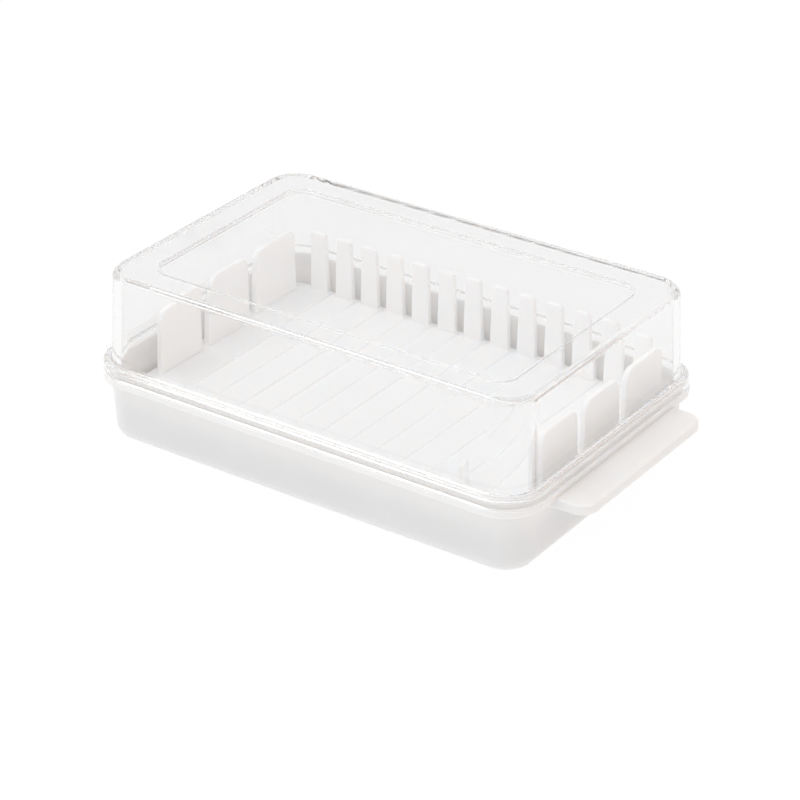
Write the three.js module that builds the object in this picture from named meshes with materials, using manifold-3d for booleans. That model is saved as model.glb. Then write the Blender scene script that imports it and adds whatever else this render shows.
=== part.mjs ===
// Butter cutting box: an open box with a rim and two end tabs, a cutting guide that lifts out of it, with
// knife slots on three sides, and a clear lid. Millimetres, +Z up, long side along X, open front towards -Y.
// The origin is the centre of the box's underside.
import * as THREE from 'three';
import { mergeVertices } from 'three/addons/utils/BufferGeometryUtils.js';
import Module from 'manifold-3d';

const wasm = await Module();
wasm.setup();

// Moulding
const draftDegrees = 3.5;
const cornerSegments = 8;
const edgeSegments = 4;
const leastCornerShare = 0.1;
const cutOverrun = 1;
const weldTolerance = 0.0001;

// Box, outside, measured just under its rim
const boxLength = 152.6;
const boxWidth = 98.8;
const boxCorner = 10.2;
const boxWall = 1.8;
const boxFloor = 2;
const boxEdge = 3.6;

// Rim round the mouth of the box: a band that the lid stands on, and a lip that it fits over
const rimUnderside = 20;
const rimBand = 2.4;
const rimEndReach = 2.55;
const rimSideReach = 3.05;
const rimCorner = 13.6;
const rimEdge = 0.5;
const lipHeight = 2.05;
const lipEdge = 0.4;

// Tab at each short end, for lifting the box
const tabReach = 10.7;
const tabLength = 66.4;
const tabThickness = 3.5;
const tabRise = 0.8;
const tabCorner = 5.5;
const tabEdge = 0.8;

// Cutting guide
const guideClearance = 2.2;
const guideHeight = 15;
const guideFloor = 2;
const guideEdge = 0.6;
const guideSkirtWall = 1.6;
const guideSkirtInset = 3.2;
const sliceThickness = 10;
const knifeGap = 3.4;
const knifeGapMouth = 4.4;
const scoreWidth = 0.8;
const scoreDepth = 0.5;
const wallFoot = 2.4;
const wallTop = 1.8;
const toothHeight = 20.6;
const toothCorner = 1.2;
const combInset = 2.5;
const plateHeight = 21.2;
const plateCorner = 3.5;
const endInset = 4.9;
const cornerGap = 2.6;
const stripWidth = 23.2;
const frontTrim = 1.4;
const clearFront = 14;
const stopThickness = 2;
const stopDepth = 3.4;
const stopFrontHeight = 5.8;
const stopRearHeight = 7.3;
const stopEndInset = 19.4;
const stopFrontInset = 12.4;

// Lid
const lidHeight = 32.9;
const lidWall = 2.6;
const skirtWall = 1.6;
const lidSetback = 0.35;
const lidClearance = 0.35;
const skirtHeight = 3.9;
const ledgeWidth = 2.3;
const ledgeEdge = 0.9;
const lidEdge = 2;
const lidEndDegrees = 2.1;
const lidSideDegrees = 4.5;
const headCorner = 10.4;
const lidFootCorner = 11.7;
const panelBorder = 11.4;
const panelDrop = 2;
const panelCorner = 5.2;
const panelEdge = 0.5;

// Worked out from the sizes above
const slope = slopeOf(draftDegrees);
const rimShoulder = rimUnderside + rimBand;
const lipTop = rimShoulder + lipHeight;
const lidTop = rimShoulder + lidHeight;

function slopeOf(degrees) {
  return Math.tan(THREE.MathUtils.degToRad(degrees));
}

// One level of a rounded rectangle: half length, half width, corner radius and height
function level(halfLength, halfWidth, corner, z) {
  return { halfLength, halfWidth, corner, z };
}

// The box's outer wall at a height, and the same wall moved inwards
function boxWallAt(z, inset = 0) {
  const lean = (rimUnderside - z) * slope + inset;
  return level(boxLength / 2 - lean, boxWidth / 2 - lean, Math.max(boxCorner - lean, boxWall), z);
}

// The rim's outer side at a height
function rimAt(z) {
  return level(boxLength / 2 + rimEndReach, boxWidth / 2 + rimSideReach, rimCorner, z);
}

// A level drawn in on all sides
function inwards(at, inset, z = at.z) {
  const corner = Math.max(at.corner - inset, leastCornerShare * at.corner);
  return level(at.halfLength - inset, at.halfWidth - inset, corner, z);
}

// The levels of a rounded edge, from an upright wall to a flat face: inset and rise are the rounding's size
function rounded(start, inset, rise) {
  const levels = [];
  for (let i = 0; i <= edgeSegments; i++) {
    const angle = (i / edgeSegments) * Math.PI / 2;
    levels.push(inwards(start, inset * (1 - Math.cos(angle)), start.z + rise * Math.sin(angle)));
  }
  return levels;
}

// Points of one level, anticlockwise from above
function outline({ halfLength, halfWidth, corner, z }) {
  const points = [];
  const centres = [[1, 1], [-1, 1], [-1, -1], [1, -1]];
  centres.forEach(([sideX, sideY], quarter) => {
    for (let i = 0; i <= cornerSegments; i++) {
      const angle = (quarter + i / cornerSegments) * Math.PI / 2;
      const x = sideX * (halfLength - corner) + corner * Math.cos(angle);
      const y = sideY * (halfWidth - corner) + corner * Math.sin(angle);
      points.push(new THREE.Vector3(x, y, z));
    }
  });
  return points;
}

// A closed skin through the levels in turn, with a flat cap on the first level and on the last
function skin(levels) {
  const rings = levels.map(outline);
  const count = rings[0].length;
  const positions = rings.flat().flatMap((p) => p.toArray());
  const index = [];
  for (let r = 0; r + 1 < rings.length; r++) {
    for (let i = 0; i < count; i++) {
      const a = r * count + i;
      const b = r * count + (i + 1) % count;
      index.push(a, b, b + count, a, b + count, a + count);
    }
  }
  const cap = (ring, flip) => {
    const centre = positions.length / 3;
    positions.push(0, 0, levels[ring].z);
    for (let i = 0; i < count; i++) {
      const a = ring * count + i;
      const b = ring * count + (i + 1) % count;
      index.push(...(flip ? [centre, b, a] : [centre, a, b]));
    }
  };
  cap(0, true);
  cap(rings.length - 1, false);
  const geometry = new THREE.BufferGeometry();
  geometry.setAttribute('position', new THREE.Float32BufferAttribute(positions, 3));
  geometry.setIndex(index);
  return geometry;
}

// A closed geometry as a solid that can be joined and cut, and back
function solid(geometry) {
  const bare = geometry.clone();
  bare.deleteAttribute('normal');
  bare.deleteAttribute('uv');
  const merged = mergeVertices(bare, weldTolerance);
  const vertProperties = new Float32Array(merged.attributes.position.array);
  const triVerts = new Uint32Array(merged.index.array);
  return new wasm.Manifold(new wasm.Mesh({ numProp: 3, vertProperties, triVerts }));
}

function geometryOf(body) {
  const mesh = body.getMesh();
  const geometry = new THREE.BufferGeometry();
  geometry.setAttribute('position', new THREE.Float32BufferAttribute(mesh.vertProperties, 3));
  geometry.setIndex(Array.from(mesh.triVerts));
  geometry.computeVertexNormals();
  return geometry;
}

// An outline in its own plane, extruded without bevels
function extruded(shape, depth) {
  return new THREE.ExtrudeGeometry(shape, { depth, bevelEnabled: false, curveSegments: edgeSegments });
}

// An upright piece of the guide's walls, seen from its front, with rounded top corners
function uprightShape(footWidth, headWidth, height, corner) {
  const headCorner = Math.min(corner, headWidth / 2);
  const shape = new THREE.Shape();
  shape.moveTo(-footWidth / 2, -guideFloor / 2);
  shape.lineTo(footWidth / 2, -guideFloor / 2);
  shape.lineTo(footWidth / 2, 0);
  shape.lineTo(headWidth / 2, height - headCorner);
  shape.absarc(headWidth / 2 - headCorner, height - headCorner, headCorner, 0, Math.PI / 2);
  shape.absarc(headCorner - headWidth / 2, height - headCorner, headCorner, Math.PI / 2, Math.PI);
  shape.lineTo(-footWidth / 2, 0);
  shape.closePath();
  return shape;
}

// The upright stands on the guide's floor with its face at y = 0 and thins from foot to top behind that face
function upright(footWidth, headWidth, height, corner) {
  const geometry = extruded(uprightShape(footWidth, headWidth, height, corner), wallFoot);
  geometry.rotateX(Math.PI / 2);
  geometry.translate(0, wallFoot, 0);
  const position = geometry.attributes.position;
  for (let i = 0; i < position.count; i++) {
    const share = THREE.MathUtils.clamp(position.getZ(i) / height, 0, 1);
    const thickness = THREE.MathUtils.lerp(wallFoot, wallTop, share);
    position.setY(i, position.getY(i) * thickness / wallFoot);
  }
  geometry.translate(0, 0, guideHeight);
  return geometry;
}

// The small stop in front of the butter: its outer side is at x = 0, and its top slopes up to the rear
function stopGeometry() {
  const profile = new THREE.Shape();
  profile.moveTo(0, -guideFloor / 2);
  profile.lineTo(stopDepth, -guideFloor / 2);
  profile.lineTo(stopDepth, stopRearHeight);
  profile.lineTo(0, stopFrontHeight);
  profile.closePath();
  const geometry = extruded(profile, stopThickness);
  geometry.rotateY(Math.PI / 2);
  geometry.rotateX(Math.PI / 2);
  geometry.translate(-stopThickness, 0, 0);
  return geometry;
}

function boxGeometry() {
  const edgeStart = boxEdge * (1 - Math.sin(Math.atan(slope)));
  const foot = boxWallAt(edgeStart);
  const under = rounded(foot, boxEdge, -edgeStart).reverse();
  const wallTopOuter = boxWallAt(rimUnderside);
  const rimOuter = rimAt(rimUnderside);
  const lipOuter = inwards(rimOuter, lidSetback + skirtWall + lidClearance, rimShoulder);
  const mouth = boxWallAt(lipTop, boxWall);
  const innerEdge = boxEdge - boxWall;
  const innerFoot = boxWallAt(boxFloor + innerEdge, boxWall);
  const innerFloor = rounded(innerFoot, innerEdge, -innerEdge);
  const body = solid(skin([
    ...under,
    wallTopOuter,
    inwards(rimOuter, rimEdge),
    inwards(rimOuter, 0, rimUnderside + rimEdge),
    inwards(rimOuter, 0, rimShoulder - rimEdge),
    inwards(rimOuter, rimEdge, rimShoulder),
    lipOuter,
    inwards(lipOuter, 0, lipTop - lipEdge),
    inwards(lipOuter, lipEdge, lipTop),
    inwards(mouth, -lipEdge),
    inwards(mouth, 0, lipTop - lipEdge),
    ...innerFloor,
  ]));
  return geometryOf(body.add(solid(tabGeometry(1))).add(solid(tabGeometry(-1))));
}

// A flat tab that starts in the wall, under the rim, with its outer corners and its edges rounded
function tabGeometry(side) {
  const inner = boxLength / 2 - boxWall / 2;
  const outer = boxLength / 2 + rimEndReach + tabReach - tabEdge;
  const half = tabLength / 2 - tabEdge;
  const corner = tabCorner - tabEdge;
  const shape = new THREE.Shape();
  shape.moveTo(inner, -half);
  shape.lineTo(outer - corner, -half);
  shape.absarc(outer - corner, corner - half, corner, -Math.PI / 2, 0);
  shape.absarc(outer - corner, half - corner, corner, 0, Math.PI / 2);
  shape.lineTo(inner, half);
  shape.closePath();
  const tab = new THREE.ExtrudeGeometry(shape, {
    depth: tabThickness - 2 * tabEdge,
    bevelSize: tabEdge,
    bevelThickness: tabEdge,
    bevelSegments: edgeSegments,
    curveSegments: cornerSegments,
  });
  tab.translate(0, 0, rimUnderside + tabRise - tabThickness + tabEdge);
  tab.rotateZ(side > 0 ? 0 : Math.PI);
  return tab;
}

function guideGeometry() {
  const underside = guideHeight - guideFloor;
  const plate = boxWallAt(underside, boxWall + guideClearance);
  const skirtOuter = inwards(plate, guideSkirtInset);
  const skirtInner = inwards(skirtOuter, guideSkirtWall);
  let body = solid(skin([
    inwards(skirtInner, 0, underside),
    inwards(skirtInner, 0, boxFloor),
    inwards(skirtOuter, 0, boxFloor),
    skirtOuter,
    plate,
    inwards(plate, 0, guideHeight - guideEdge),
    inwards(plate, guideEdge, guideHeight),
  ]));
  const combFace = plate.halfWidth - combInset;
  const endFace = plate.halfLength - endInset;
  const toothFoot = sliceThickness - knifeGap;
  const toothHead = sliceThickness - knifeGapMouth;
  const sliceCuts = Math.floor((2 * endFace - toothFoot) / sliceThickness);
  for (let k = 0; k <= sliceCuts; k++) {
    const tooth = upright(toothFoot, toothHead, toothHeight, toothCorner);
    tooth.translate((k - sliceCuts / 2) * sliceThickness, combFace, 0);
    body = body.add(solid(tooth));
  }
  const platesRear = combFace - cornerGap;
  const stripCount = Math.floor((platesRear + plate.halfWidth - clearFront) / stripWidth);
  for (let k = 0; k < stripCount; k++) {
    const rearCut = k === 0 ? 0 : knifeGap / 2;
    const frontCut = k === stripCount - 1 ? frontTrim : knifeGap / 2;
    const width = stripWidth - rearCut - frontCut;
    const centre = platesRear - k * stripWidth - rearCut - width / 2;
    for (const side of [1, -1]) {
      const endPlate = upright(width, width - (knifeGapMouth - knifeGap), plateHeight, plateCorner);
      endPlate.rotateZ(-side * Math.PI / 2);
      endPlate.translate(side * endFace, centre, 0);
      body = body.add(solid(endPlate));
    }
  }
  const stop = stopGeometry();
  stop.translate(endFace - stopEndInset, stopFrontInset - plate.halfWidth, guideHeight);
  body = body.add(solid(stop));
  for (let k = 0; k < sliceCuts; k++) {
    const reach = combFace + plate.halfWidth + cutOverrun;
    const score = new THREE.BoxGeometry(scoreWidth, reach, 2 * scoreDepth);
    const x = (k - (sliceCuts - 1) / 2) * sliceThickness;
    score.translate(x, combFace - reach / 2, guideHeight);
    body = body.subtract(solid(score));
  }
  return geometryOf(body);
}

function lidGeometry() {
  const skirt = inwards(rimAt(rimShoulder), lidSetback);
  const ledgeTop = rimShoulder + skirtHeight;
  const ledgeOuter = inwards(skirt, 0, ledgeTop - ledgeEdge);
  const footAt = inwards(skirt, ledgeWidth, ledgeTop + ledgeEdge);
  const wallFootOuter = level(footAt.halfLength, footAt.halfWidth, lidFootCorner, footAt.z);
  const wallRise = lidTop - lidEdge - wallFootOuter.z;
  const headHalfLength = wallFootOuter.halfLength - wallRise * slopeOf(lidEndDegrees);
  const headHalfWidth = wallFootOuter.halfWidth - wallRise * slopeOf(lidSideDegrees);
  const wallHead = level(headHalfLength, headHalfWidth, headCorner, lidTop - lidEdge);
  const panelHalfLength = wallHead.halfLength - panelBorder;
  const panelHalfWidth = wallHead.halfWidth - panelBorder;
  const panel = level(panelHalfLength, panelHalfWidth, panelCorner, lidTop);
  const innerEdge = Math.max(lidEdge - lidWall, panelEdge);
  const innerHead = inwards(wallHead, lidWall, lidTop - lidWall - innerEdge);
  const innerFoot = inwards(wallFootOuter, lidWall, ledgeTop - skirtWall + ledgeEdge);
  const innerSkirt = inwards(skirt, skirtWall);
  const innerPanel = inwards(panel, -lidWall);
  const inside = [
    inwards(innerPanel, 0, lidTop - lidWall - panelDrop),
    inwards(innerPanel, 0, lidTop - lidWall),
    inwards(innerHead, innerEdge, lidTop - lidWall),
    innerHead,
    innerFoot,
    inwards(innerSkirt, ledgeEdge, ledgeTop - skirtWall),
    inwards(innerSkirt, 0, ledgeTop - skirtWall - ledgeEdge),
    innerSkirt,
  ];
  const outside = [
    skirt,
    ledgeOuter,
    inwards(ledgeOuter, ledgeEdge, ledgeTop),
    inwards(skirt, ledgeWidth - ledgeEdge / 2, ledgeTop),
    wallFootOuter,
    ...rounded(wallHead, lidEdge, lidEdge),
    inwards(panel, -panelEdge),
    inwards(panel, 0, lidTop - panelEdge),
    inwards(panel, 0, lidTop - panelDrop + panelEdge),
    inwards(panel, panelEdge, lidTop - panelDrop),
  ];
  return geometryOf(solid(skin([...inside, ...outside])));
}

const whitePlastic = new THREE.MeshStandardMaterial({ color: 0xf1f1ef, roughness: 0.42, metalness: 0 });
const clearPlastic = new THREE.MeshStandardMaterial({
  color: 0xe9eef0, roughness: 0.08, metalness: 0, transparent: true, opacity: 0.3,
});

const butterBox = new THREE.Group();

function addPiece(name, geometry, material) {
  const mesh = new THREE.Mesh(geometry, material);
  mesh.name = name;
  butterBox.add(mesh);
}

addPiece('base_box', boxGeometry(), whitePlastic);
addPiece('cutting_guide', guideGeometry(), whitePlastic);
addPiece('clear_lid', lidGeometry(), clearPlastic);

export default butterBox;
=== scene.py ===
# Butter cutting box: a white box with a rim and end tabs, a white cutting guide with a comb and end
# plates, and a clear lid. The shapes are in millimetres, +Z up, and MM turns them into metres. The
# materials, the floor, the light and the camera are in metres.
import math

import bmesh
import bpy
from mathutils import Matrix, Vector


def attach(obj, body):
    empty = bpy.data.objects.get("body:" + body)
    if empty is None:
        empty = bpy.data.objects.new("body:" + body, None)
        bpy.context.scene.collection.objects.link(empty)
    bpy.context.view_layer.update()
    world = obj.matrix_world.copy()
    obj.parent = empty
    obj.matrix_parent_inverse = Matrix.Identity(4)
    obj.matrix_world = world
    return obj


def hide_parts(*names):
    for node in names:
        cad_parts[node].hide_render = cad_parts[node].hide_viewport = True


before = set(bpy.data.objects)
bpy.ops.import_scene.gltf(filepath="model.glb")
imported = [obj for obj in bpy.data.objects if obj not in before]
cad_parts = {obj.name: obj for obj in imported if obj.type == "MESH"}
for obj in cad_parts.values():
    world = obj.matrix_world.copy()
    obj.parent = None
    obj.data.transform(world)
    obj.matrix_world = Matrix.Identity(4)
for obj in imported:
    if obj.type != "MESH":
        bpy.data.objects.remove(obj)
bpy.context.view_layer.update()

MM = 0.001

# Rounding and smoothness of the moulded shapes
CORNER_STEPS = 20
LONG_SIDE_STEPS = 16
SHORT_SIDE_STEPS = 10
EDGE_STEPS = 8
POST_CORNER_STEPS = 4
SHARP_ANGLE = math.radians(38)
FLAT_FACE_WEIGHT = 80
LEAST_CORNER = 0.6

# Box
BOX_LENGTH = 152.6
BOX_WIDTH = 98.8
BOX_CORNER = 10.2
BOX_WALL = 1.8
BOX_FLOOR = 2.0
BOX_EDGE = 3.6
BOX_BOW = 0.35
DRAFT = math.tan(math.radians(3.5))
RIM_UNDERSIDE = 20.0
RIM_BAND = 2.4
RIM_END_REACH = 2.55
RIM_SIDE_REACH = 3.05
RIM_CORNER = 13.6
RIM_EDGE = 0.6
LIP_HEIGHT = 2.05
LIP_EDGE = 0.45
UNDER_RIM_FILLET = 0.7
LIP_FOOT_FILLET = 0.35

# Tabs
TAB_REACH = 10.7
TAB_LENGTH = 66.4
TAB_THICKNESS = 3.5
TAB_RISE = 0.8
TAB_CORNER = 5.5
TAB_EDGE = 0.8
TAB_ROOT = 3.0

# Guide
GUIDE_CLEARANCE = 2.2
GUIDE_HEIGHT = 15.0
GUIDE_FLOOR = 2.0
GUIDE_EDGE = 0.6
SKIRT_WALL = 1.6
SKIRT_INSET = 3.2
SLICE = 10.0
SLICE_CUTS = 12
KNIFE_GAP = 3.4
GAP_MOUTH = 4.4
WALL_FOOT = 2.4
WALL_TOP = 1.8
TOOTH_HEIGHT = 20.6
TOOTH_CORNER = 1.2
COMB_INSET = 2.5
PLATE_HEIGHT = 21.2
PLATE_FRONT_CORNER = 4.2
PLATE_REAR_CORNER = 3.0
END_INSET = 4.9
CORNER_GAP = 2.6
STRIP = 23.2
STRIPS = 3
FRONT_TRIM = 1.4
POST_EDGE = 0.4
FOOT_FILLET = 0.5
FOOT_SUNK = 1.0
SCORE_RADIUS = 0.42
SCORE_STEPS = 12
STOP_THICKNESS = 2.0
STOP_DEPTH = 3.4
STOP_FRONT = 5.8
STOP_REAR = 7.3
STOP_END_INSET = 19.4
STOP_FRONT_INSET = 12.4

# Lid
LID_HEIGHT = 32.9
LID_WALL = 2.6
LID_SKIRT_WALL = 1.6
LID_SETBACK = 0.35
LID_CLEARANCE = 0.35
LID_SKIRT = 3.9
LEDGE_WIDTH = 2.3
LEDGE_EDGE = 0.9
LID_EDGE = 2.0
LID_END_SLOPE = math.tan(math.radians(2.1))
LID_SIDE_SLOPE = math.tan(math.radians(4.5))
HEAD_CORNER = 10.4
LID_FOOT_CORNER = 11.7
PANEL_BORDER = 11.4
PANEL_DROP = 0.7
PANEL_CORNER = 5.2
PANEL_EDGE = 0.34
INNER_TOP_EDGE = 0.3
INNER_FOOT_EDGE = 0.8
INNER_SKIRT_EDGE = 0.7
SKIRT_FOOT_INNER_EDGE = 0.3
SKIRT_FOOT_OUTER_EDGE = 0.4
CAP_INSET = 10.0


def level(half_length, half_width, corner, z, bow=0.0):
    """A level of a shape: half length and width, corner radius, height, and how far its front bows out."""
    return Vector((half_length, half_width, max(corner, LEAST_CORNER), z, bow))


def inwards(at, inset, z=None):
    """The level drawn in all round by inset, and moved to height z if that is given."""
    return level(at[0] - inset, at[1] - inset, at[2] - inset, at[3] if z is None else z, at[4])


def box_wall(z, inset=0.0, bow=0.0):
    """The box's leaning outer wall at height z, or the wall that lies inset inside it."""
    lean = (RIM_UNDERSIDE - z) * DRAFT + inset
    return level(BOX_LENGTH / 2 - lean, BOX_WIDTH / 2 - lean, BOX_CORNER - lean, z, bow)


def section(a, b):
    """The step from one level to another in the plane of the profile."""
    return Vector((b[0] - a[0], b[3] - a[3])).length


def softened(levels, radii):
    """The levels with each one rounded off by its radius, so that the profile has no sharp turns."""
    out = []
    for i, (here, radius) in enumerate(zip(levels, radii)):
        if not radius or i in (0, len(levels) - 1):
            out.append(here)
            continue
        before, after = levels[i - 1], levels[i + 1]
        start = here.lerp(before, min(radius / section(here, before), 0.49))
        end = here.lerp(after, min(radius / section(here, after), 0.49))
        for step in range(EDGE_STEPS + 1):
            t = step / EDGE_STEPS
            weight = math.sqrt(0.5) * 2 * t * (1 - t)
            total = (1 - t) ** 2 + weight + t ** 2
            out.append((start * (1 - t) ** 2 + here * weight + end * t ** 2) / total)
    return out


def outline(at):
    """Points of one level, anticlockwise from above, with steps along the sides and round the corners."""
    half_length, half_width, corner, z, bow = at
    points = []
    for quarter, (sx, sy) in enumerate(((1, 1), (-1, 1), (-1, -1), (1, -1))):
        centre = Vector((sx * (half_length - corner), sy * (half_width - corner)))
        for step in range(CORNER_STEPS + 1):
            angle = (quarter + step / CORNER_STEPS) * math.pi / 2
            points.append(centre + corner * Vector((math.cos(angle), math.sin(angle))))
        along = LONG_SIDE_STEPS if quarter % 2 == 0 else SHORT_SIDE_STEPS
        nxt = ((-1, 1), (-1, -1), (1, -1), (1, 1))[quarter]
        turn = (quarter + 1) * math.pi / 2
        end = Vector((nxt[0] * (half_length - corner), nxt[1] * (half_width - corner)))
        end += corner * Vector((math.cos(turn), math.sin(turn)))
        start = points[-1]
        for step in range(1, along):
            points.append(start.lerp(end, step / along))
    bent = []
    for p in points:
        out = bow * max(0.0, 1 - (p.x / half_length) ** 2) if p.y < -half_width + corner else 0.0
        bent.append(Vector((p.x, p.y - out, z)))
    return bent


def skinned(rings, name):
    """A closed mesh through rings of points, with a face on the first ring and one on the last."""
    mesh = bpy.data.meshes.new(name)
    bm = bmesh.new()
    made = [[bm.verts.new(p * MM) for p in ring] for ring in rings]
    count = len(rings[0])
    for lower, upper in zip(made, made[1:]):
        for i in range(count):
            j = (i + 1) % count
            bm.faces.new((lower[i], lower[j], upper[j], upper[i]))
    bm.faces.new(list(reversed(made[0])))
    bm.faces.new(made[-1])
    bm.normal_update()
    bm.to_mesh(mesh)
    bm.free()
    return mesh


def placed(mesh, name):
    obj = bpy.data.objects.new(name, mesh)
    bpy.context.scene.collection.objects.link(obj)
    return obj


def combined(base, other, operation):
    """base joined with other, or cut by it; other is used up."""
    modifier = base.modifiers.new("Combine", "BOOLEAN")
    modifier.operation = operation
    modifier.solver = "EXACT"
    modifier.object = other
    graph = bpy.context.evaluated_depsgraph_get()
    mesh = bpy.data.meshes.new_from_object(base.evaluated_get(graph))
    base.modifiers.clear()
    base.data = mesh
    bpy.data.objects.remove(other)


def smoothed(obj):
    """Smooth shading that keeps flat faces flat and real corners sharp."""
    obj.data.shade_smooth()
    obj.data.set_sharp_from_angle(angle=SHARP_ANGLE)
    modifier = obj.modifiers.new("Flat faces stay flat", "WEIGHTED_NORMAL")
    modifier.keep_sharp = True
    modifier.weight = FLAT_FACE_WEIGHT


def gathered(meshes, name):
    """One object from several meshes."""
    bm = bmesh.new()
    for mesh in meshes:
        bm.from_mesh(mesh)
    mesh = bpy.data.meshes.new(name)
    bm.to_mesh(mesh)
    bm.free()
    return placed(mesh, name)


def make_box():
    foot = box_wall(0.0, bow=BOX_BOW)
    wall_top = box_wall(RIM_UNDERSIDE)
    rim = level(BOX_LENGTH / 2 + RIM_END_REACH, BOX_WIDTH / 2 + RIM_SIDE_REACH, RIM_CORNER, RIM_UNDERSIDE)
    shoulder = RIM_UNDERSIDE + RIM_BAND
    lip = inwards(rim, LID_SETBACK + LID_SKIRT_WALL + LID_CLEARANCE, shoulder)
    lip_top = shoulder + LIP_HEIGHT
    inner_foot = box_wall(BOX_FLOOR, BOX_WALL, BOX_BOW)
    levels = [
        inwards(foot, BOX_EDGE * 1.5),
        foot,
        wall_top,
        rim,
        inwards(rim, 0.0, shoulder),
        lip,
        inwards(lip, 0.0, lip_top),
        box_wall(lip_top, BOX_WALL),
        inner_foot,
        inwards(inner_foot, BOX_EDGE * 1.5),
    ]
    radii = [0, BOX_EDGE, UNDER_RIM_FILLET, RIM_EDGE, RIM_EDGE, LIP_FOOT_FILLET, LIP_EDGE, LIP_EDGE,
             BOX_EDGE - BOX_WALL, 0]
    box = placed(skinned([outline(at) for at in softened(levels, radii)], "box_body"), "box_body")
    tabs = gathered([tab_mesh(1), tab_mesh(-1)], "tabs")
    combined(box, tabs, "UNION")
    return box


def tab_mesh(side):
    """A flat tab with rounded outer corners and edges, from inside the wall outwards."""
    inner = BOX_LENGTH / 2 + RIM_END_REACH - TAB_ROOT
    outer = BOX_LENGTH / 2 + RIM_END_REACH + TAB_REACH
    top = RIM_UNDERSIDE + TAB_RISE
    rings = []
    for step in range(2 * EDGE_STEPS + 1):
        angle = -math.pi / 2 + math.pi * min(step, EDGE_STEPS) / (2 * EDGE_STEPS)
        angle += math.pi * max(step - EDGE_STEPS, 0) / (2 * EDGE_STEPS)
        inset = TAB_EDGE * (1 - math.cos(angle))
        rise = TAB_EDGE * math.sin(angle)
        z = (top - TAB_EDGE if step > EDGE_STEPS else top - TAB_THICKNESS + TAB_EDGE) + rise
        rings.append(tab_outline(inner, outer - inset, TAB_LENGTH / 2 - inset, TAB_CORNER - inset, z, side))
    return skinned(rings, "tab")


def tab_outline(inner, outer, half, corner, z, side):
    """Points of one level of a tab, whose outer corners are rounded."""
    points = [Vector((inner, half, z)), Vector((inner, -half, z))]
    for quarter, sy in enumerate((-1, 1)):
        for step in range(CORNER_STEPS + 1):
            angle = (quarter - 1 + step / CORNER_STEPS) * math.pi / 2
            points.append(Vector((outer - corner + corner * math.cos(angle),
                                  sy * (half - corner) + corner * math.sin(angle), z)))
    return [Vector((side * p.x, side * p.y, p.z)) for p in points]


def post_ring(x0, x1, y0, y1, z, corner=POST_EDGE):
    """One ring of a guide's upright: a small rectangle with rounded corners at height z."""
    points = []
    centres = ((x1, y1, -1, -1), (x0, y1, 1, -1), (x0, y0, 1, 1), (x1, y0, -1, 1))
    for quarter, (x, y, ix, iy) in enumerate(centres):
        for step in range(POST_CORNER_STEPS + 1):
            angle = (quarter + step / POST_CORNER_STEPS) * math.pi / 2
            points.append(Vector((x + ix * corner + corner * math.cos(angle),
                                  y + iy * corner + corner * math.sin(angle), z)))
    return points


def drawn_in(height, z, radius):
    """How far a top corner of this radius has drawn in at height z."""
    over = max(0.0, z - (height - radius))
    return radius - math.sqrt(max(0.0, radius ** 2 - over ** 2))


def upright(width, mouth, height, left_corner, right_corner):
    """An upright whose face is at y = 0 and looks along -y, and that thins from foot to top behind it."""
    heights = [-FOOT_SUNK]
    heights += [FOOT_FILLET * (1 - math.cos(math.radians(a))) for a in (25, 45, 60, 75, 90)]
    heights += [height * share for share in (0.25, 0.5, 0.72)]
    big = max(left_corner, right_corner)
    for step in range(1, 13):
        heights.append(height - big + big * math.sin(math.radians(step * 7.5)))
    heights = sorted(set(h for h in heights if h <= height))
    rings = []
    for z in heights:
        share = min(max(z / height, 0.0), 1.0)
        half = width / 2 + (mouth / 2 - width / 2) * share
        thickness = WALL_FOOT + (WALL_TOP - WALL_FOOT) * share
        reach = min(max(FOOT_FILLET - z, 0.0), FOOT_FILLET)
        flare = FOOT_FILLET - math.sqrt(max(0.0, FOOT_FILLET ** 2 - reach ** 2))
        top = drawn_in(height, z, POST_EDGE)
        x0 = -half - flare + drawn_in(height, z, left_corner)
        x1 = half + flare - drawn_in(height, z, right_corner)
        rings.append(post_ring(x0, x1, -flare + top, thickness - top, z, POST_EDGE * 0.9))
    return rings


def moved(rings, x, y, turn=0.0):
    """The rings turned about the upright, then set on the guide's floor at x, y."""
    rotation = Matrix.Rotation(turn, 4, "Z")
    shift = Vector((x, y, GUIDE_HEIGHT))
    return [[rotation @ p + shift for p in ring] for ring in rings]


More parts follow.
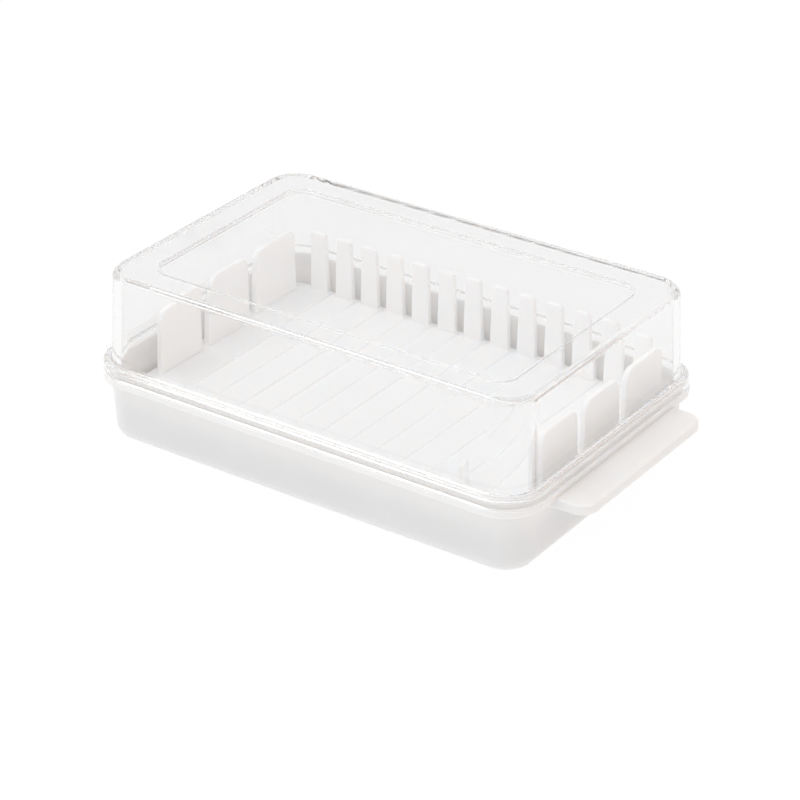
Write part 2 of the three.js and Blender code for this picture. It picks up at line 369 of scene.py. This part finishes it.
def make_guide():
    underside = GUIDE_HEIGHT - GUIDE_FLOOR
    plate = box_wall(underside, BOX_WALL + GUIDE_CLEARANCE)
    skirt_outer = inwards(plate, SKIRT_INSET)
    skirt_inner = inwards(skirt_outer, SKIRT_WALL)
    levels = [
        skirt_inner,
        inwards(skirt_inner, 0.0, BOX_FLOOR),
        inwards(skirt_outer, 0.0, BOX_FLOOR),
        skirt_outer,
        plate,
        inwards(plate, 0.0, GUIDE_HEIGHT),
        inwards(plate, GUIDE_EDGE * 3, GUIDE_HEIGHT),
    ]
    radii = [0, GUIDE_EDGE / 2, GUIDE_EDGE / 2, GUIDE_EDGE, GUIDE_EDGE / 2, GUIDE_EDGE, 0]
    guide = placed(skinned([outline(at) for at in softened(levels, radii)], "guide_body"), "guide_body")

    comb_face = plate[1] - COMB_INSET
    end_face = plate[0] - END_INSET
    meshes = []
    for k in range(SLICE_CUTS + 1):
        tooth = upright(SLICE - KNIFE_GAP, SLICE - GAP_MOUTH, TOOTH_HEIGHT, TOOTH_CORNER, TOOTH_CORNER)
        meshes.append(skinned(moved(tooth, (k - SLICE_CUTS / 2) * SLICE, comb_face), "tooth"))
    rear = comb_face - CORNER_GAP
    for k in range(STRIPS):
        rear_cut = 0.0 if k == 0 else KNIFE_GAP / 2
        front_cut = FRONT_TRIM if k == STRIPS - 1 else KNIFE_GAP / 2
        width = STRIP - rear_cut - front_cut
        centre = rear - k * STRIP - rear_cut - width / 2
        for side in (1, -1):
            corners = (PLATE_REAR_CORNER, PLATE_FRONT_CORNER)
            left, right = corners if side > 0 else corners[::-1]
            rings = upright(width, width - (GAP_MOUTH - KNIFE_GAP), PLATE_HEIGHT, left, right)
            meshes.append(skinned(moved(rings, side * end_face, centre, -side * math.pi / 2), "plate"))
    meshes.append(stop_mesh(end_face - STOP_END_INSET, STOP_FRONT_INSET - plate[1]))
    combined(guide, gathered(meshes, "uprights"), "UNION")

    scores = []
    for k in range(SLICE_CUTS):
        x = (k - (SLICE_CUTS - 1) / 2) * SLICE
        scores.append(score_mesh(x, -plate[1] - SLICE, comb_face + KNIFE_GAP / 2))
    combined(guide, gathered(scores, "scores"), "DIFFERENCE")
    return guide


def stop_mesh(x1, y0):
    """The small stop in front of the butter, whose top slopes up to the rear."""
    rings = []
    steps = [-FOOT_SUNK, FOOT_FILLET * 0.1, FOOT_FILLET * 0.4, FOOT_FILLET, STOP_FRONT / 2]
    steps += [STOP_FRONT - POST_EDGE * (1 - math.sin(math.radians(a))) for a in (0, 30, 60, 90)]
    for z in steps:
        reach = min(max(FOOT_FILLET - z, 0.0), FOOT_FILLET)
        flare = FOOT_FILLET - math.sqrt(max(0.0, FOOT_FILLET ** 2 - reach ** 2))
        inset = drawn_in(STOP_FRONT, z, POST_EDGE) - flare
        ring = post_ring(x1 - STOP_THICKNESS + inset, x1 - inset, y0 + inset, y0 + STOP_DEPTH - inset, z)
        share = max(z, 0.0) / STOP_FRONT
        for p in ring:
            p.z += share * (STOP_REAR - STOP_FRONT) * (p.y - y0) / STOP_DEPTH + GUIDE_HEIGHT
        rings.append(ring)
    return skinned(rings, "stop")


def score_mesh(x, y0, y1):
    """A round bar along Y whose lower half cuts one score line into the floor."""
    rings = []
    for y in (y0, y1):
        ring = []
        for step in range(SCORE_STEPS):
            angle = step / SCORE_STEPS * 2 * math.pi
            across = SCORE_RADIUS * math.cos(angle)
            ring.append(Vector((x + across, y, GUIDE_HEIGHT + SCORE_RADIUS * math.sin(angle))))
        rings.append(ring[::-1])
    return skinned(rings, "score")


def make_lid():
    shoulder = RIM_UNDERSIDE + RIM_BAND
    rim = level(BOX_LENGTH / 2 + RIM_END_REACH, BOX_WIDTH / 2 + RIM_SIDE_REACH, RIM_CORNER, shoulder)
    top = shoulder + LID_HEIGHT
    ledge = shoulder + LID_SKIRT
    skirt = inwards(rim, LID_SETBACK)
    foot = inwards(skirt, LEDGE_WIDTH, ledge)
    foot[2] = LID_FOOT_CORNER
    rise = top - LID_EDGE - ledge - LEDGE_EDGE
    head = level(foot[0] - rise * LID_END_SLOPE, foot[1] - rise * LID_SIDE_SLOPE, HEAD_CORNER, top)
    panel = level(head[0] - PANEL_BORDER, head[1] - PANEL_BORDER, PANEL_CORNER, top)
    inner_top = top - LID_WALL
    inner_head = inwards(head, LID_WALL, inner_top)
    inner_panel = inwards(panel, 0.0, inner_top)
    inner_foot = inwards(foot, LID_WALL, ledge - LID_SKIRT_WALL)
    inner_skirt = inwards(skirt, LID_SKIRT_WALL, shoulder)
    levels = [
        inwards(inner_panel, CAP_INSET, inner_top - PANEL_DROP),
        inwards(inner_panel, 0.0, inner_top - PANEL_DROP),
        inner_panel,
        inner_head,
        inner_foot,
        inwards(inner_skirt, 0.0, ledge - LID_SKIRT_WALL),
        inner_skirt,
        skirt,
        inwards(skirt, 0.0, ledge),
        foot,
        head,
        panel,
        inwards(panel, 0.0, top - PANEL_DROP),
        inwards(panel, CAP_INSET, top - PANEL_DROP),
    ]
    radii = [0, PANEL_EDGE, PANEL_EDGE, INNER_TOP_EDGE, INNER_FOOT_EDGE, INNER_SKIRT_EDGE,
             SKIRT_FOOT_INNER_EDGE, SKIRT_FOOT_OUTER_EDGE, LEDGE_EDGE, LEDGE_EDGE, LID_EDGE,
             PANEL_EDGE, PANEL_EDGE, 0]
    return placed(skinned([outline(at) for at in softened(levels, radii)], "lid_body"), "lid_body")


# Materials
PLASTIC_IOR = 1.49
CLOUDS_PER_METRE = 60.0
SPECKS_PER_METRE = 110.0
SPECK_COLOUR = (0.28, 0.24, 0.2, 1.0)
GRAINS_PER_METRE = 1800.0
GRAIN_HEIGHT = 0.00002
GRAIN_STRENGTH = 0.35
SATIN_ROUGHNESS = (0.34, 0.46)
CLEAR_ROUGHNESS = (0.004, 0.02)
CLEAR_TINT = (0.951, 0.95, 0.95, 1.0)
CLEAR_TINT_DARKER = (0.94, 0.939, 0.938, 1.0)
LIGHT_DEPTH_BY_COLOUR = (1.0, 0.92, 0.85)


def new_material(name):
    material = bpy.data.materials.new(name)
    material.use_nodes = True
    nodes = material.node_tree.nodes
    return material, nodes, material.node_tree.links, nodes["Principled BSDF"]


def noise(nodes, links, coords, scale, detail=2.0):
    """A noise texture fixed to the object; scale is its cells per metre."""
    texture = nodes.new("ShaderNodeTexNoise")
    texture.inputs["Scale"].default_value = scale
    texture.inputs["Detail"].default_value = detail
    links.new(coords.outputs["Object"], texture.inputs["Vector"])
    return texture


def spread(nodes, links, source, low, high, out_low, out_high):
    """A noise value between low and high mapped to out_low and out_high."""
    mapped = nodes.new("ShaderNodeMapRange")
    for socket, value in (("From Min", low), ("From Max", high), ("To Min", out_low), ("To Max", out_high)):
        mapped.inputs[socket].default_value = value
    links.new(source, mapped.inputs["Value"])
    return mapped


def bumped(nodes, links, shader, height, distance, strength):
    """Bump on the shader from a height value, at most distance metres high."""
    bump = nodes.new("ShaderNodeBump")
    bump.inputs["Distance"].default_value = distance
    bump.inputs["Strength"].default_value = strength
    links.new(height, bump.inputs["Height"])
    links.new(bump.outputs["Normal"], shader.inputs["Normal"])


def white_plastic(name, colour, shade, specks, depth):
    """White moulded plastic: nearly even colour, a satin skin with a fine grain, and a few tiny specks.

    Light goes about depth metres into it.
    """
    material, nodes, links, shader = new_material(name)
    coords = nodes.new("ShaderNodeTexCoord")
    cloud = noise(nodes, links, coords, CLOUDS_PER_METRE)
    tint = nodes.new("ShaderNodeMix")
    tint.data_type = "RGBA"
    tint.inputs["A"].default_value = (*colour, 1.0)
    tint.inputs["B"].default_value = (*shade, 1.0)
    clouded = spread(nodes, links, cloud.outputs["Fac"], 0.35, 0.65, 0.0, 1.0)
    links.new(clouded.outputs["Result"], tint.inputs["Factor"])
    dots = nodes.new("ShaderNodeTexVoronoi")
    dots.inputs["Scale"].default_value = SPECKS_PER_METRE
    links.new(coords.outputs["Object"], dots.inputs["Vector"])
    rare = noise(nodes, links, coords, SPECKS_PER_METRE / 2, 0.0)
    near = spread(nodes, links, dots.outputs["Distance"], 0.03, 0.06, 1.0, 0.0)
    chosen = spread(nodes, links, rare.outputs["Fac"], 0.64, 0.66, 0.0, specks)
    both = nodes.new("ShaderNodeMath")
    both.operation = "MULTIPLY"
    links.new(near.outputs["Result"], both.inputs[0])
    links.new(chosen.outputs["Result"], both.inputs[1])
    spotted = nodes.new("ShaderNodeMix")
    spotted.data_type = "RGBA"
    spotted.inputs["B"].default_value = SPECK_COLOUR
    links.new(tint.outputs["Result"], spotted.inputs["A"])
    links.new(both.outputs["Value"], spotted.inputs["Factor"])
    links.new(spotted.outputs["Result"], shader.inputs["Base Color"])
    sheen = noise(nodes, links, coords, 25.0, 4.0)
    rough = spread(nodes, links, sheen.outputs["Fac"], 0.3, 0.7, *SATIN_ROUGHNESS)
    links.new(rough.outputs["Result"], shader.inputs["Roughness"])
    grain = noise(nodes, links, coords, GRAINS_PER_METRE, 3.0)
    bumped(nodes, links, shader, grain.outputs["Fac"], GRAIN_HEIGHT, GRAIN_STRENGTH)
    shader.inputs["IOR"].default_value = PLASTIC_IOR
    shader.inputs["Subsurface Weight"].default_value = 1.0
    shader.inputs["Subsurface Radius"].default_value = LIGHT_DEPTH_BY_COLOUR
    shader.inputs["Subsurface Scale"].default_value = depth
    return material


def clear_plastic(name):
    """Clear polished plastic, slightly grey, with a faint unevenness of its gloss."""
    material, nodes, links, shader = new_material(name)
    coords = nodes.new("ShaderNodeTexCoord")
    shader.inputs["Transmission Weight"].default_value = 1.0
    shader.inputs["IOR"].default_value = PLASTIC_IOR
    wear = noise(nodes, links, coords, 40.0, 5.0)
    rough = spread(nodes, links, wear.outputs["Fac"], 0.35, 0.75, *CLEAR_ROUGHNESS)
    links.new(rough.outputs["Result"], shader.inputs["Roughness"])
    tint = nodes.new("ShaderNodeMix")
    tint.data_type = "RGBA"
    tint.inputs["A"].default_value = CLEAR_TINT
    tint.inputs["B"].default_value = CLEAR_TINT_DARKER
    haze = noise(nodes, links, coords, 18.0, 3.0)
    links.new(haze.outputs["Fac"], tint.inputs["Factor"])
    links.new(tint.outputs["Result"], shader.inputs["Base Color"])
    return material


# Pieces
box_white = white_plastic(
    "box_white", colour=(0.792, 0.79, 0.788), shade=(0.782, 0.779, 0.776), specks=0.25, depth=0.004)
# The guide's white is painted lighter than the box's white: painted light that stands in for the light the
# clear lid takes from the pieces under it
guide_white_painted_light = white_plastic(
    "guide_white_painted_light", colour=(0.968, 0.963, 0.958), shade=(0.961, 0.955, 0.949), specks=0.6, depth=0.002)
lid_clear = clear_plastic("lid_clear")

box_body = make_box()
guide_body = make_guide()
lid_body = make_lid()
for piece, material, body, node, slot in (
    (box_body, box_white, "box", "base_box", "box_plastic"),
    (guide_body, guide_white_painted_light, "guide", "cutting_guide", "guide_plastic"),
    (lid_body, lid_clear, "lid", "clear_lid", "lid_plastic"),
):
    piece.data.materials.clear()
    piece.data.materials.append(material)
    smoothed(piece)
    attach(piece, body)
    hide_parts(node)

# Floor
FLOOR_SIZE = 6.0
FLOOR_COLOUR = (0.06, 0.06, 0.06, 1.0)
FLOOR_GLOW = 0.95
floor_mesh = bpy.data.meshes.new("floor")
half_floor = FLOOR_SIZE / 2
floor_mesh.from_pydata(
    [(-half_floor, -half_floor, 0), (half_floor, -half_floor, 0), (half_floor, half_floor, 0),
     (-half_floor, half_floor, 0)], [], [(0, 1, 2, 3)])
floor = placed(floor_mesh, "floor")
floor_material, floor_nodes, floor_links, floor_shader = new_material("pale_floor")
floor_shader.inputs["Base Color"].default_value = FLOOR_COLOUR
floor_shader.inputs["Roughness"].default_value = 1.0
floor_shader.inputs["Specular IOR Level"].default_value = 0.0
floor_shader.inputs["Emission Color"].default_value = (1.0, 1.0, 1.0, 1.0)
floor_shader.inputs["Emission Strength"].default_value = FLOOR_GLOW
floor_mesh.materials.append(floor_material)

# Soft studio light: a nearly even white surround, darker and warmer to the right, and brown low at
# the right rear
world = bpy.data.worlds.new("studio")
bpy.context.scene.world = world
world.use_nodes = True
world_nodes, world_links = world.node_tree.nodes, world.node_tree.links
background = world_nodes["Background"]
direction = world_nodes.new("ShaderNodeTexCoord")
parts = world_nodes.new("ShaderNodeSeparateXYZ")
world_links.new(direction.outputs["Generated"], parts.inputs["Vector"])


def blended(factor, low, high):
    """A colour from low to high as factor goes from 0 to 1; low and high are colours or sockets."""
    mix = world_nodes.new("ShaderNodeMix")
    mix.data_type = "RGBA"
    world_links.new(factor, mix.inputs["Factor"])
    for socket, value in (("A", low), ("B", high)):
        if isinstance(value, tuple):
            mix.inputs[socket].default_value = (*value, 1.0)
        else:
            world_links.new(value, mix.inputs[socket])
    return mix.outputs["Result"]


def ramp(source, start, end):
    """A value that rises smoothly from 0 to 1 as source goes from start to end."""
    mapped = spread(world_nodes, world_links, source, start, end, 0.0, 1.0)
    mapped.interpolation_type = "SMOOTHSTEP"
    return mapped.outputs["Result"]


rearward = ramp(parts.outputs["Y"], -0.3, 0.3)
left_side = blended(rearward, (0.97, 0.99, 1.02), (0.84, 0.84, 0.85))
right_side = blended(rearward, (0.67, 0.61, 0.58), (0.71, 0.6, 0.54))
sides = blended(ramp(parts.outputs["X"], -0.3, 0.5), left_side, right_side)
right_horizon = blended(rearward, (0.62, 0.57, 0.55), (0.6, 0.4, 0.29))
horizon = blended(ramp(parts.outputs["X"], 0.2, 0.7), (0.92, 0.93, 0.95), right_horizon)
upper = blended(ramp(parts.outputs["Z"], 0.3, 0.8), sides, (1.1, 1.1, 1.1))
sky = blended(ramp(parts.outputs["Z"], 0.12, 0.38), horizon, upper)
world_links.new(sky, background.inputs["Color"])


def soft_box(name, place, aim, size, power, colour):
    """A rectangular light at place that shines towards aim, all in metres."""
    light = bpy.data.lights.new(name, "AREA")
    light.shape = "RECTANGLE"
    light.size, light.size_y = size
    light.energy = power
    light.color = colour
    lamp = bpy.data.objects.new(name, light)
    lamp.location = place
    lamp.rotation_mode = "QUATERNION"
    lamp.rotation_quaternion = (Vector(aim) - Vector(place)).to_track_quat("-Z", "Y")
    bpy.context.scene.collection.objects.link(lamp)


soft_box("soft_box_above", place=(-0.55, -0.12, 0.95), aim=(0, 0, 0.03), size=(0.36, 0.36), power=1.6,
         colour=(1.0, 1.0, 1.0))

# Camera at the photograph's place
CAMERA_PLACE = (0.44675186616, -0.63877093002, 0.43508330577)
CAMERA_AZIMUTH = math.radians(34.840244586604456)
CAMERA_ELEVATION = math.radians(28.418443579666526)
SENSOR = 36.0
FOCAL_PIXELS = 2895.605
FRAME_PIXELS = 800
camera_data = bpy.data.cameras.new("camera")
camera_data.sensor_width = SENSOR
camera_data.lens = FOCAL_PIXELS / FRAME_PIXELS * SENSOR
camera_data.shift_x = -0.5 / FRAME_PIXELS
camera_data.shift_y = 0.5 / FRAME_PIXELS
camera_data.clip_start = 0.01
camera_data.clip_end = 20.0
camera = bpy.data.objects.new("camera", camera_data)
camera.location = CAMERA_PLACE
forward = Vector((
    -math.sin(CAMERA_AZIMUTH) * math.cos(CAMERA_ELEVATION),
    math.cos(CAMERA_AZIMUTH) * math.cos(CAMERA_ELEVATION),
    -math.sin(CAMERA_ELEVATION),
))
camera.rotation_mode = "QUATERNION"
camera.rotation_quaternion = forward.to_track_quat("-Z", "Y")
bpy.context.scene.collection.objects.link(camera)
bpy.context.scene.camera = camera

bpy.context.scene.view_settings.view_transform = "Standard"
bpy.context.scene.view_settings.look = "None"

# Paths long enough for light that passes the clear lid twice and bounces about inside it
light_paths = bpy.context.scene.cycles
light_paths.blur_glossy = 0.0
light_paths.max_bounces = 96
light_paths.diffuse_bounces = 12
light_paths.glossy_bounces = 64
light_paths.transmission_bounces = 64
